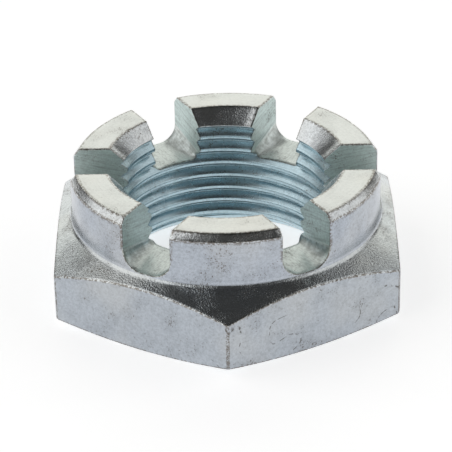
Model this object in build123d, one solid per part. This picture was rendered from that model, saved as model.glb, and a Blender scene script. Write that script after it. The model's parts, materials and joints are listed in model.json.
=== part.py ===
from build123d import *
import os
from math import cos, radians, tan

# Slotted hexagon nut (castle nut) for an M30 x 2 fine thread.
# The origin is the centre of the bearing face, +Z runs along the thread axis
# towards the crown, and one hexagon corner points along -Y.
# Lengths are in millimetres and angles in degrees.

# Hexagon body
hex_sides = 6
across_flats = 46.0
flat_height = 9.65  # from the bearing face to the shoulder arc at mid-flat
corner_radius = 0.8  # down each upright hexagon edge
shoulder_angle = 27.0  # cone above the flats, measured from level
bearing_diameter = 44.0  # flat ring that seats on the washer
bearing_chamfer_angle = 15.0  # cone under the corners, measured from level

# Crown
nut_height = 18.0
crown_diameter = 42.3
crown_root_radius = 0.8  # fillet between the crown wall and the shoulder cone
crown_chamfer_width = 0.75
crown_chamfer_height = 1.0

# Slots for the cotter pin
slot_count = 6
slot_width = 7.1
slot_depth = 7.1
slot_inner_radius = 0.8  # floor corners where the cut starts, inside the bore
slot_outer_radius = 3.0  # floor corners where it ends, outside the crown wall
slot_overrun = 1.0  # how far the cut starts inside the bore and ends outside the crown

# Thread, left smooth here at its minor diameter
thread_diameter = 30.0
thread_pitch = 2.0
crown_countersink_diameter = 32.4
bearing_countersink_diameter = 31.6
countersink_angle = 90.0  # included angle, at both faces

# Basic height of an ISO metric internal thread, as a share of its pitch
THREAD_HEIGHT_RATIO = 0.541266

apothem = across_flats / 2
corner_reach = apothem / cos(radians(180 / hex_sides))
crown_radius = crown_diameter / 2
crown_foot_height = flat_height + (apothem - crown_radius) * tan(radians(shoulder_angle))
bore_radius = thread_diameter / 2 - THREAD_HEIGHT_RATIO * thread_pitch


def turned_blank() -> Solid:
    """Outside of the nut as it comes off the lathe, before the hexagon is cut."""
    bearing_radius = bearing_diameter / 2
    chamfer_rise = (corner_reach - bearing_radius) * tan(radians(bearing_chamfer_angle))
    shoulder_drop = (corner_reach - apothem) * tan(radians(shoulder_angle))
    crown_top_radius = crown_radius - crown_chamfer_width
    outline = Polyline(
        (0, 0),
        (bearing_radius, 0),
        (corner_reach, chamfer_rise),
        (corner_reach, flat_height - shoulder_drop),
        (crown_radius, crown_foot_height),
        (crown_radius, nut_height - crown_chamfer_height),
        (crown_top_radius, nut_height),
        (0, nut_height),
        close=True,
    )
    section = make_face(Plane.XZ * outline)
    foot = section.vertices().sort_by_distance((crown_radius, 0, crown_foot_height))[0]
    section = fillet(foot, crown_root_radius)
    return revolve(section, Axis.Z)


def hexagon_bar() -> Part:
    """Hexagon bar of the full height, with its upright edges eased."""
    hexagon = RegularPolygon(apothem, hex_sides, major_radius=False, rotation=180 / hex_sides)
    return extrude(fillet(hexagon.vertices(), corner_radius), nut_height)


def threaded_bore() -> Part:
    """Tool for the through bore with a countersink at each face."""
    bottom_radius = bearing_countersink_diameter / 2
    top_radius = crown_countersink_diameter / 2
    steepness = tan(radians(countersink_angle / 2))
    outline = Polyline(
        (0, 0),
        (bottom_radius, 0),
        (bore_radius, (bottom_radius - bore_radius) / steepness),
        (bore_radius, nut_height - (top_radius - bore_radius) / steepness),
        (top_radius, nut_height),
        (0, nut_height),
        close=True,
    )
    return revolve(make_face(Plane.XZ * outline), Axis.Z)


def slot_section(distance: float, corner: float) -> Sketch:
    """Cross-section of the slot along +X, at a distance from the axis."""
    section = Rectangle(slot_width, 2 * slot_depth)
    floor_corners = section.vertices().group_by(Axis.Y)[0]
    at_top = Plane(origin=(distance, 0, nut_height), x_dir=(0, 1, 0), z_dir=(1, 0, 0))
    return at_top * fillet(floor_corners, corner)


def slot_cutter() -> Solid:
    """Tool for the slot along +X: straight walls, with floor corners that widen outwards."""
    start = slot_section(bore_radius - slot_overrun, slot_inner_radius)
    end = slot_section(crown_radius + slot_overrun, slot_outer_radius)
    return loft([start, end], ruled=True)


castle_nut = turned_blank() & hexagon_bar()
castle_nut -= threaded_bore()
castle_nut -= PolarLocations(0, slot_count) * slot_cutter()
castle_nut = castle_nut.solid()
castle_nut.label = "castle_nut"

os.makedirs("parts", exist_ok=True)
export_step(castle_nut, "parts/castle_nut.step")
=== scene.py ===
import json
import logging
import math
from collections.abc import Callable
from dataclasses import dataclass, field
from enum import Enum, IntEnum

import bpy
import numpy as np
from mathutils import Matrix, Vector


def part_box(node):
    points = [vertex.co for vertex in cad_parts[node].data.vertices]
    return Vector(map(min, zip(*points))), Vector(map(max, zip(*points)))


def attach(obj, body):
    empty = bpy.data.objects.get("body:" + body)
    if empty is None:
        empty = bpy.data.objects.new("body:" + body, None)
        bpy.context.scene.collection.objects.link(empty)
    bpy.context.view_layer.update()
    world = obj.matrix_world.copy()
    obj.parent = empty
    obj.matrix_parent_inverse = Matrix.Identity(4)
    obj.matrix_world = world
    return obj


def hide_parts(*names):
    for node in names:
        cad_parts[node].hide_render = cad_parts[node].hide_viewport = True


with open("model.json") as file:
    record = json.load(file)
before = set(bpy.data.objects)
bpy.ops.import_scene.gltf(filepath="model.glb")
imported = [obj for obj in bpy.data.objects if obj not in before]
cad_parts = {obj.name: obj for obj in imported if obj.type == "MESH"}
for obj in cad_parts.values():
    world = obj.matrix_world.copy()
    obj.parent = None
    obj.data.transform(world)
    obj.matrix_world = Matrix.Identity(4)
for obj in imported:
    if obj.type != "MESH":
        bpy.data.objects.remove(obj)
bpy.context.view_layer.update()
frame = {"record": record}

LOG = logging.getLogger("castle_nut")
MM = 0.001  # metres in a millimetre
NODE = "castle_nut"

Socket = bpy.types.NodeSocket
Value = float | Socket


class Surface(IntEnum):
    """The machined or plated surfaces of the nut, in the order of its material slots."""

    FLAT = 0
    SHOULDER = 1
    CROWN_WALL = 2
    CROWN_FACE = 3
    CROWN_BEVEL = 4
    SLOT_WALL = 5
    SLOT_FLOOR = 6
    THREAD = 7
    BEARING = 8


class Attribute(str, Enum):
    """Names of the values kept at each point of the nut's mesh."""

    SURFACE = "surface"
    BORE_SHARE = "bore_share"
    LEAN = "lean"
    EDGE = "edge_wear"
    SECTOR = "sector"
    SLOT_ANGLE = "slot_angle"


# ---------------------------------------------------------------------------
# Sizes
# ---------------------------------------------------------------------------


@dataclass(frozen=True)
class NutSizes:
    """Sizes of the nut in millimetres and degrees.

    The overall sizes and the bore come from the frame, and the others follow the solid.
    """

    across_flats: float
    height: float
    bore_radius: float
    thread_pitch: float = 2.0
    thread_height_ratio: float = 0.541266
    thread_start: float = 1.72
    flat_height: float = 9.65
    corner_radius: float = 0.8
    shoulder_angle: float = 27.0
    bearing_radius: float = 22.0
    bearing_angle: float = 15.0
    crown_radius: float = 21.15
    crown_root_radius: float = 0.8
    crown_chamfer_width: float = 0.75
    crown_chamfer_height: float = 1.0
    slot_count: int = 6
    slot_half_width: float = 3.55
    slot_depth: float = 7.1
    slot_inner_radius: float = 0.8
    slot_outer_radius: float = 3.0
    slot_overrun: float = 1.0
    countersink_radius: float = 16.2
    bearing_countersink_radius: float = 15.8

    @classmethod
    def from_frame(cls) -> "NutSizes":
        """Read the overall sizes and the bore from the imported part.

        Returns:
            The sizes of the nut.
        """
        low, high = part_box(NODE)
        thread = next(m for m in frame["record"]["mounts"] if m["name"] == "thread")
        return cls(
            across_flats=(high.x - low.x) / MM,
            height=(high.z - low.z) / MM,
            bore_radius=thread["dims"]["r_mm"],
        )

    @property
    def apothem(self) -> float:
        """Distance from the axis to a hexagon flat."""
        return self.across_flats / 2

    @property
    def half_sector(self) -> float:
        """Angle from the middle of a slot to the middle of a castellation, in radians."""
        return math.pi / self.slot_count

    @property
    def slot_floor(self) -> float:
        """Height of the slot floors above the bearing face."""
        return self.height - self.slot_depth

    @property
    def slot_widening(self) -> float:
        """Growth of the slot's floor corners for each millimetre outwards."""
        length = self.crown_radius - self.bore_radius + 2 * self.slot_overrun
        return (self.slot_outer_radius - self.slot_inner_radius) / length

    @property
    def thread_height(self) -> float:
        """Radial height of the thread ridges."""
        return self.thread_height_ratio * self.thread_pitch

    def shoulder_height(self, radius: np.ndarray | float) -> np.ndarray | float:
        """Height of the shoulder cone.

        Args:
            radius: Distance from the axis.

        Returns:
            Height above the bearing face at that distance.
        """
        return self.flat_height - (radius - self.apothem) * math.tan(math.radians(self.shoulder_angle))

    def bearing_height(self, radius: np.ndarray | float) -> np.ndarray | float:
        """Height of the chamfer under the hexagon corners.

        Args:
            radius: Distance from the axis.

        Returns:
            Height above the bearing face at that distance.
        """
        return (radius - self.bearing_radius) * math.tan(math.radians(self.bearing_angle))


@dataclass(frozen=True)
class EdgeSizes:
    """Radii of the broken edges in millimetres, and the steps that round them."""

    hexagon: float = 0.22
    outer: float = 0.14
    inner: float = 0.07
    crown_bevel: float = 0.3
    crown_top: float = 0.22
    countersink: float = 0.2
    steps: int = 3


@dataclass(frozen=True)
class MeshSteps:
    """How finely each stretch of the surface is divided."""

    floor_half: int = 4
    slot_corner: int = 10
    castellation_half: int = 12
    hexagon_corner: int = 4
    thread_rows_per_pitch: int = 24
    slot_length: int = 10
    bearing_ring: int = 6
    bearing_cone: int = 5
    bearing_countersink: int = 3
    shoulder: int = 8
    crown_root: int = 4
    crown_wall: int = 12
    castellation: tuple[int, int, int, int] = (6, 3, 8, 3)


# Lengths below are in millimetres and angles in degrees.
HALF_BEND_SLOPE = math.tan(math.radians(45 / 2))  # for the rounding of a countersink's 45 degree corner
FLAT_ROWS = (0.02, 0.2, 0.4, 0.6, 0.8, 0.98, 1.0)  # shares of a hexagon flat's height, close at its ends
ROW_CROWDING = 1.6  # power that brings rows closer together at their start
ROOT_END_ANGLE = 26.0  # part of the crown's root fillet that the crown's wall takes over
BORE_MIDDLE = 8.0  # height at which the bore's slanting rows have become level
COARSE_END = 0.9  # stretch at each end of the bore without the fine rows of the thread
FOLLOW_REACH = 3.0  # length over which the slot's floor stops following the thread
THREAD_MARGIN = 0.5  # distance beyond the thread's roots at which points still follow it
LEAST_TURN = 0.02  # change of direction that counts as an edge


# ---------------------------------------------------------------------------
# Mesh of one sector
# ---------------------------------------------------------------------------


def turn(start: np.ndarray, end: np.ndarray, steps: int) -> np.ndarray:
    """Unit vectors that turn evenly from one direction to another.

    Args:
        start: Unit vectors, shape (n, 3).
        end: Unit vectors, shape (n, 3).
        steps: Number of steps between the two.

    Returns:
        The directions, shape (n, steps + 1, 3).
    """
    angle = np.arccos(np.clip((start * end).sum(1), -1, 1))[:, None, None]
    share = np.linspace(0, 1, steps + 1)[None, :, None]
    mixed = np.sin((1 - share) * angle) * start[:, None] + np.sin(share * angle) * end[:, None]
    return mixed / np.sin(angle)


def polar(radius: np.ndarray, angle: np.ndarray, height: np.ndarray) -> np.ndarray:
    """Points given by distance from the axis, angle in radians and height."""
    radius, angle, height = np.broadcast_arrays(radius, angle, height)
    return np.stack([radius * np.cos(angle), radius * np.sin(angle), height], -1)


@dataclass
class Profile:
    """A path in the plane through the axis, with the direction that faces out of the metal.

    Attributes:
        points: Distances from the axis and heights, shape (n, 2).
        normals: Unit vectors in the same plane, shape (n, 2).
        surfaces: The surface of the stretch that ends at each point.
    """

    points: np.ndarray
    normals: np.ndarray
    surfaces: list[Surface]

    @classmethod
    def rounded(cls, corners: list, radii: list, counts: list, surfaces: list, steps: int) -> "Profile":
        """Straight stretches joined by arcs.

        Args:
            corners: The path's corners as (distance from the axis, height).
            radii: The arc's radius at each inner corner.
            counts: The number of steps along each straight stretch.
            surfaces: The surface that each straight stretch belongs to.
            steps: The number of steps round each arc.

        Returns:
            The profile.
        """
        corners = np.array(corners, float)
        along = np.diff(corners, axis=0)
        along /= np.linalg.norm(along, axis=1)[:, None]
        outward = np.stack([along[:, 1], -along[:, 0]], 1)
        points, normals, names = [], [], []
        start = corners[0]
        for i, surface in enumerate(surfaces):
            end = corners[i + 1]
            if i + 1 < len(surfaces):
                bend = math.acos(np.clip(along[i] @ along[i + 1], -1, 1))
                end = end - along[i] * radii[i] * math.tan(bend / 2)
            share = np.linspace(0, 1, counts[i] + 1)[(1 if points else 0):, None]
            points += list(start + (end - start) * share)
            normals += [outward[i]] * len(share)
            names += [surface] * len(share)
            if i + 1 < len(surfaces):
                centre = end - outward[i] * radii[i]
                for step in range(1, steps + 1):
                    mixed = outward[i] * math.sin(bend * (1 - step / steps))
                    mixed = mixed + outward[i + 1] * math.sin(bend * step / steps)
                    mixed = mixed / math.sin(bend)
                    points.append(centre + mixed * radii[i])
                    normals.append(mixed)
                    names.append(surface if step * 2 <= steps else surfaces[i + 1])
                start = points[-1]
        return cls(np.array(points), np.array(normals), names)


@dataclass
class SectorMesh:
    """Points and faces of half a sector, gathered patch by patch, and mirrored at the end."""

    points: list = field(default_factory=list)
    faces: list = field(default_factory=list)
    surfaces: list = field(default_factory=list)
    bore_share: list = field(default_factory=list)
    lean: list = field(default_factory=list)
    edge: list = field(default_factory=list)

    def add_points(self, points: np.ndarray, bore_share: np.ndarray | float, lean: np.ndarray | float,
                   edge: np.ndarray | float) -> np.ndarray:
        """Add points with their values.

        Args:
            points: Positions, shape (..., 3).
            bore_share: How far each point follows the thread, from 0 to 1.
            lean: Angle of the line along which it follows the thread, from the slot's middle.
            edge: How much of an edge the point is, from 0 to 1.

        Returns:
            The number of each point, in the shape of the points.
        """
        shape = points.shape[:-1]
        first = len(self.points)
        self.points += list(points.reshape(-1, 3))
        self.bore_share += list(np.broadcast_to(bore_share, shape).ravel())
        self.lean += list(np.broadcast_to(lean, shape).ravel())
        self.edge += list(np.broadcast_to(edge, shape).ravel())
        return first + np.arange(int(np.prod(shape))).reshape(shape)

    def add_grid(self, points: np.ndarray, surface: Surface | list, bore_share: np.ndarray | float = 0.0,
                 lean: np.ndarray | float = 0.0, edge: np.ndarray | float = 0.0) -> np.ndarray:
        """Add a grid of four-sided faces.

        Args:
            points: Positions, shape (rows, lanes, 3).
            surface: One surface, or the surface of the faces that end at each row.
            bore_share: How far each point follows the thread.
            lean: Angle of the line along which it follows the thread.
            edge: How much of an edge each point is.

        Returns:
            The number of each point, shape (rows, lanes).
        """
        ids = self.add_points(points, bore_share, lean, edge)
        rows, lanes = ids.shape
        for row in range(rows - 1):
            name = surface[row + 1] if isinstance(surface, list) else surface
            for lane in range(lanes - 1):
                near, far = ids[row, lane:lane + 2], ids[row + 1, lane:lane + 2]
                self.faces.append((near[0], near[1], far[1], far[0]))
                self.surfaces.append(int(name))
        return ids

    def add_face(self, ids: list, surface: Surface) -> None:
        """Add one flat face with many corners."""
        self.faces.append(tuple(ids))
        self.surfaces.append(int(surface))

    def to_object(self, name: str) -> bpy.types.Object:
        """Mirror the half across the middle of the slot and make an object in metres.

        Args:
            name: The object's name.

        Returns:
            The object, linked to the scene.
        """
        half = np.array(self.points) * MM
        count = len(half)
        points = np.concatenate([half, half * (1, -1, 1)])
        faces = self.faces + [tuple(int(i) + count for i in reversed(face)) for face in self.faces]
        mesh = bpy.data.meshes.new(name)
        mesh.from_pydata(points.tolist(), [], [tuple(int(i) for i in face) for face in faces])
        self._store(mesh, Attribute.SURFACE, "INT", "FACE", self.surfaces * 2)
        self._store(mesh, Attribute.BORE_SHARE, "FLOAT", "POINT", self.bore_share * 2)
        self._store(mesh, Attribute.LEAN, "FLOAT", "POINT", self.lean + [-v for v in self.lean])
        self._store(mesh, Attribute.EDGE, "FLOAT", "POINT", self.edge * 2)
        piece = bpy.data.objects.new(name, mesh)
        bpy.context.scene.collection.objects.link(piece)
        return piece

    @staticmethod
    def _store(mesh: bpy.types.Mesh, name: Attribute, kind: str, domain: str, values: list) -> None:
        """Keep one value for each point or face of a mesh."""
        layer = mesh.attributes.new(name.value, kind, domain)
        dtype = np.int32 if kind == "INT" else np.float32
        layer.data.foreach_set("value", np.array(values, dtype))


@dataclass
class CrownSector:
    """One sixth of the nut: a slot with half a castellation on each side, over its share of the body."""

    sizes: NutSizes
    edges: EdgeSizes = field(default_factory=EdgeSizes)
    steps: MeshSteps = field(default_factory=MeshSteps)

    def __post_init__(self) -> None:
        """Work out the lanes that all patches share."""
        s, steps = self.sizes, self.steps
        bend = np.linspace(0, math.pi / 2, steps.slot_corner + 1)
        self.floor_share = np.concatenate([np.linspace(0, 1, steps.floor_half + 1)[:-1], np.ones(len(bend))])
        self.bend = np.concatenate([np.zeros(steps.floor_half), bend])
        self.castellation_share = np.linspace(0, 1, steps.castellation_half + 1)[1:]
        tilt = -s.slot_widening * (np.sin(self.bend) + np.cos(self.bend) - 1)
        normal = np.stack([tilt, -np.sin(self.bend), np.cos(self.bend)], 1)
        self.slot_normal = normal / np.linalg.norm(normal, axis=1)[:, None]
        self.outer_centres = self._slot_centres(s.crown_radius - self.edges.outer, self.edges.outer)
        self.inner_centres = self._slot_centres(s.bore_radius + self.edges.inner, self.edges.inner)
        self.outer_lanes = self._lane_angles(self.outer_centres)
        self.bore_lanes = self._lane_angles(self.inner_centres)
        self.lean = np.concatenate([np.zeros(len(self.bend)), self.castellation_share * s.half_sector])
        self._set_outline()

    # Lanes ------------------------------------------------------------

    def _slot_centres(self, radius: float, rounding: float) -> np.ndarray:
        """Centres of a rounded edge along the slot's section, one rounding inside the metal.

        Args:
            radius: Distance of the centres from the axis.
            rounding: The radius of the edge that is rounded.

        Returns:
            One centre for each lane, shape (lanes, 3).
        """
        s = self.sizes
        x = np.full(len(self.bend), radius)
        for _ in range(6):
            corner = s.slot_inner_radius + s.slot_widening * (
                x + rounding * self.slot_normal[:, 0] - s.bore_radius + s.slot_overrun)
            across = self.floor_share * (s.slot_half_width - corner) + corner * np.sin(self.bend)
            height = s.slot_floor + corner * (1 - np.cos(self.bend))
            y = across - rounding * self.slot_normal[:, 1]
            x = np.sqrt(radius ** 2 - y ** 2)
        return np.stack([x, y, height - rounding * self.slot_normal[:, 2]], 1)

    def _lane_angles(self, centres: np.ndarray) -> np.ndarray:
        """Angle of every lane.

        Args:
            centres: Centres of a rounded edge along the slot's section.

        Returns:
            Angles in radians, over the slot first and then over half a castellation.
        """
        over_slot = np.arctan2(centres[:, 1], centres[:, 0])
        last = over_slot[-1]
        over_castellation = last + (self.sizes.half_sector - last) * self.castellation_share
        return np.concatenate([over_slot, over_castellation])

    def _set_outline(self) -> None:
        """Half of one hexagon side in plan, with the direction that faces out at each lane."""
        s = self.sizes
        slot_lanes = len(self.bend)
        corner_lanes = self.steps.hexagon_corner
        corner_y = (s.apothem - s.corner_radius) * math.tan(s.half_sector)
        over_slot = s.crown_radius * np.sin(self.outer_lanes[:slot_lanes])
        flat_lanes = self.steps.castellation_half - corner_lanes
        along = np.linspace(over_slot[-1], corner_y, flat_lanes + 1)[1:]
        bend = np.linspace(0, s.half_sector, corner_lanes + 1)[1:]
        facing = np.concatenate([np.zeros(slot_lanes + flat_lanes), bend])
        centre_y = np.concatenate([over_slot, along, np.full(corner_lanes, corner_y)])
        self.outline_normal = np.stack([np.cos(facing), np.sin(facing), np.zeros(len(facing))], 1)
        centre_x = np.full(len(facing), s.apothem - s.corner_radius)
        centre = np.stack([centre_x, centre_y, np.zeros(len(facing))], 1)
        self.outline = centre + s.corner_radius * self.outline_normal

    # Patches ----------------------------------------------------------

    def build(self) -> bpy.types.Object:
        """Make the whole sector.

        Returns:
            The sector as an object, its slot centred on +X.
        """
        mesh = SectorMesh()
        self._body(mesh)
        self._bore(mesh)
        slot_ids = self._slot(mesh)
        strip_ids = self._castellation(mesh)
        ring = list(strip_ids[:, 0]) + list(slot_ids[1:-1][::-1])
        mesh.add_face(ring, Surface.SLOT_WALL)
        return mesh.to_object("crown_sector")

    def _cone_edge(self, height: np.ndarray, normal: np.ndarray, drop: float) -> np.ndarray:
        """Rounded edge between the hexagon's side and a cone.

        Args:
            height: Height of the cone at the centre of the rounding, for each lane.
            normal: Direction that faces out of the cone, for each lane.
            drop: Vertical distance from the cone to the centre of the rounding.

        Returns:
            The edge's points from the side to the cone, shape (steps + 1, lanes, 3).
        """
        rounding = self.edges.hexagon
        centre = self.outline - rounding * self.outline_normal
        centre[:, 2] = height - drop
        directions = turn(self.outline_normal, normal, self.edges.steps)
        return (centre[:, None] + rounding * directions).transpose(1, 0, 2)

    def _cone_normals(self, angle: float, upward: float) -> np.ndarray:
        """Directions that face out of a cone at the centres of the hexagon's rounded edges."""
        inner = self.outline - self.edges.hexagon * self.outline_normal
        around = np.arctan2(inner[:, 1], inner[:, 0])
        tilt = math.radians(angle)
        level = math.sin(tilt)
        return np.stack([level * np.cos(around), level * np.sin(around),
                         np.full(len(around), upward * math.cos(tilt))], 1)

    def _body(self, mesh: SectorMesh) -> None:
        """Bearing face, chamfer, hexagon side, shoulder and the crown's outer wall up to the slot."""
        s = self.sizes
        inner = self.outline - self.edges.hexagon * self.outline_normal
        reach = np.hypot(inner[:, 0], inner[:, 1])
        lanes = len(self.outer_lanes)

        drop = -self.edges.hexagon / math.cos(math.radians(s.bearing_angle))
        lower = self._cone_edge(s.bearing_height(reach), self._cone_normals(s.bearing_angle, -1), drop)[::-1]
        drop = self.edges.hexagon / math.cos(math.radians(s.shoulder_angle))
        upper = self._cone_edge(s.shoulder_height(reach), self._cone_normals(s.shoulder_angle, 1), drop)

        rows: list[np.ndarray] = []
        names: list[Surface] = []

        def extend(points: np.ndarray, surface: Surface) -> None:
            """Add rows of points that belong to one surface."""
            rows.extend(points)
            names.extend([surface] * len(points))

        ring_inner = s.bearing_countersink_radius + self.edges.countersink * HALF_BEND_SLOPE
        radii = np.linspace(ring_inner, s.bearing_radius, self.steps.bearing_ring + 1)
        share = ((radii - ring_inner) / (s.bearing_radius - ring_inner))[:, None]
        angles = self.bore_lanes + (self.outer_lanes - self.bore_lanes) * share
        extend(polar(radii[:, None], angles, np.zeros((1, 1))), Surface.BEARING)
        cone = self._along_cone(rows[-1], lower[0], s.bearing_height, self.steps.bearing_cone)
        extend(cone[1:], Surface.BEARING)
        extend(lower[1:], Surface.FLAT)
        rise = np.array(FLAT_ROWS)[:, None, None]
        extend(lower[-1] + (upper[0] - lower[-1]) * rise, Surface.FLAT)
        extend(upper[1:], Surface.SHOULDER)
        root = self._crown_root()
        cone = self._along_cone(upper[-1], root[0], s.shoulder_height, self.steps.shoulder)
        extend(cone[1:], Surface.SHOULDER)
        extend(root[1:], Surface.SHOULDER)
        extend(self._crown_wall(root[-1]), Surface.CROWN_WALL)

        points = np.array(rows)
        edge = np.zeros(points.shape[:2])
        first_flat, first_shoulder = names.index(Surface.FLAT), names.index(Surface.SHOULDER)
        edge[first_flat - 1:first_flat + self.edges.steps, :] = 1
        edge[first_shoulder - 1:first_shoulder + self.edges.steps, :] = 1
        edge[first_flat:first_shoulder, lanes - self.steps.hexagon_corner // 2 - 1:] = 1
        edge[-1, :len(self.bend)] = 1
        mesh.add_grid(points, names, edge=edge)

    def _along_cone(self, start: np.ndarray, end: np.ndarray, height: Callable[[np.ndarray], np.ndarray],
                    count: int) -> np.ndarray:
        """Rows from one ring of points to another along a cone.

        Args:
            start: First ring, shape (lanes, 3).
            end: Last ring, shape (lanes, 3).
            height: The cone's height as a function of the distance from the axis.
            count: Number of steps.

        Returns:
            The rows, shape (count + 1, lanes, 3).
        """
        share = (np.linspace(0, 1, count + 1) ** ROW_CROWDING)[:, None, None]
        rows = start + (end - start) * share
        rows[1:-1, :, 2] = height(np.hypot(rows[1:-1, :, 0], rows[1:-1, :, 1]))
        return rows

    def _root_tangent(self) -> float:
        """Height at which the crown's wall leaves its root fillet."""
        s = self.sizes
        between = math.radians(90 - s.shoulder_angle)
        return s.shoulder_height(s.crown_radius) + s.crown_root_radius * math.tan(between / 2)

    def _crown_root(self) -> np.ndarray:
        """Rows of the fillet between the shoulder cone and the crown, ending below the slot floor."""
        s = self.sizes
        start = math.radians(90 - s.shoulder_angle)
        end = math.radians(ROOT_END_ANGLE)
        bend = np.linspace(start, end, self.steps.crown_root + 1)[:, None]
        radius = s.crown_radius + s.crown_root_radius * (1 - np.cos(bend))
        height = self._root_tangent() - s.crown_root_radius * np.sin(bend)
        return polar(radius, self.outer_lanes[None, :], height)

    def _wall_contact(self, height: np.ndarray) -> tuple[np.ndarray, np.ndarray]:
        """Where a rounded edge at the slot's mouth touches the crown's wall or its root fillet.

        Args:
            height: Height of the rounding's centre.

        Returns:
            The centre's distance from the axis, and the direction in which it touches, shape (n, 2).
        """
        s = self.sizes
        below = np.maximum(self._root_tangent() - height, 0)
        reach = s.crown_root_radius + self.edges.outer
        across = np.sqrt(reach ** 2 - below ** 2)
        radius = s.crown_radius + s.crown_root_radius - across
        return radius, np.stack([across / reach, below / reach], 1)

    def _outer_edge(self) -> tuple[np.ndarray, np.ndarray]:
        """Centres of the rounding at the slot's outer mouth and its direction on the crown's wall."""
        height = self.outer_centres[:, 2]
        radius, facing = self._wall_contact(height)
        around = np.arcsin(self.outer_centres[:, 1] / radius)
        return polar(radius, around, height), polar(facing[:, 0], around, facing[:, 1])

    def _crown_wall(self, foot: np.ndarray) -> np.ndarray:
        """Rows of the crown's wall from its root up to the slot's section or the foot of the slot's wall."""
        s = self.sizes
        centres, normals = self._outer_edge()
        end = centres + self.edges.outer * normals
        over_castellation = polar(np.array([s.crown_radius]), self.outer_lanes[len(end):],
                                  self.outer_centres[-1:, 2])
        end = np.concatenate([end, over_castellation])
        start_angle = self.outer_lanes
        end_angle = np.arctan2(end[:, 1], end[:, 0])
        share = (np.linspace(0, 1, self.steps.crown_wall + 1)[1:] ** ROW_CROWDING)[:, None]
        height = foot[:, 2] + (end[:, 2] - foot[:, 2]) * share
        angle = start_angle + (end_angle - start_angle) * share
        below = np.clip(self._root_tangent() - height, 0, s.crown_root_radius)
        radius = s.crown_radius + s.crown_root_radius - np.sqrt(s.crown_root_radius ** 2 - below ** 2)
        rows = polar(radius, angle, height)
        rows[-1] = end
        return rows

    def _bore(self, mesh: SectorMesh) -> None:
        """The bore from the slot down to the bearing face, with the rows that the thread needs."""
        s = self.sizes
        row_height = s.thread_pitch / self.steps.thread_rows_per_pitch
        slot_top = self.inner_centres[:, 2]
        top = np.concatenate([slot_top, np.full(len(self.castellation_share), slot_top[-1])])
        upper_rows = round((slot_top[-1] - BORE_MIDDLE) / row_height)
        lower_rows = round((BORE_MIDDLE - COARSE_END) / row_height)
        share = np.linspace(0, 1, upper_rows + 1)[:, None]
        upper = top + (BORE_MIDDLE - top) * share
        lower = np.linspace(BORE_MIDDLE, COARSE_END, lower_rows + 1)[1:, None] + np.zeros(len(top))
        height = np.concatenate([upper, lower])
        radius = np.maximum(s.bore_radius, s.bearing_countersink_radius - height)
        rows = polar(radius, self.bore_lanes[None, :], height)
        bore_share = np.ones(height.shape)

        cone_steps = self.steps.bearing_countersink
        foot = Profile.rounded(
            corners=[(s.bearing_countersink_radius - COARSE_END, COARSE_END),
                     (s.bearing_countersink_radius, 0),
                     (s.bearing_radius, 0)],
            radii=[self.edges.countersink], counts=[cone_steps, 1],
            surfaces=[Surface.THREAD, Surface.BEARING], steps=self.edges.steps)
        last = cone_steps + self.edges.steps
        foot_rows = polar(foot.points[1:last + 1, :1], self.bore_lanes[None, :], foot.points[1:last + 1, 1:])
        names = [Surface.THREAD] * (len(rows) + cone_steps) + foot.surfaces[cone_steps + 1:last + 1]
        points = np.concatenate([rows, foot_rows])
        share_rows = np.concatenate([bore_share, np.zeros(foot_rows.shape[:2])])
        edge = np.zeros(points.shape[:2])
        edge[-self.edges.steps:, :] = 1
        mesh.add_grid(points, names, bore_share=share_rows, lean=self.lean[None, :], edge=edge)

    def _slot(self, mesh: SectorMesh) -> np.ndarray:
        """The slot's floor and quarter rounds, with a rounded edge at the crown's wall and at the bore.

        Returns:
            The numbers of the points along the foot of the slot's wall, from outside to inside.
        """
        outer, outer_normal = self._outer_edge()
        inner = self.inner_centres
        inner_angle = np.arctan2(inner[:, 1], inner[:, 0])
        inner_normal = polar(np.full(len(inner), -1.0), inner_angle, np.zeros(len(inner)))
        section = self.slot_normal
        outer_edge = outer[:, None] + self.edges.outer * turn(outer_normal, section, self.edges.steps)
        inner_edge = inner[:, None] + self.edges.inner * turn(section, inner_normal, self.edges.steps)
        share = np.linspace(0, 1, self.steps.slot_length + 1)[1:-1][None, :, None]
        start, end = outer_edge[:, -1][:, None], inner_edge[:, 0][:, None]
        rows = np.concatenate([outer_edge, start + (end - start) * share, inner_edge], 1).transpose(1, 0, 2)
        follow = self._slot_share(rows[..., 0], inner_edge[:, 0, 0])
        edge = np.zeros(rows.shape[:2])
        edge[:self.edges.steps] = 1
        edge[-self.edges.steps:] = 1
        ids = mesh.add_grid(rows, Surface.SLOT_FLOOR, bore_share=follow, edge=edge)
        return ids[self.edges.steps:len(rows) - self.edges.steps, -1]

    def _slot_share(self, x: np.ndarray, bore_x: np.ndarray) -> np.ndarray:
        """How far the slot's points follow the thread: fully at the bore, and less further out."""
        return np.clip(1 - (x - bore_x) / FOLLOW_REACH, 0, 1)

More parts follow.
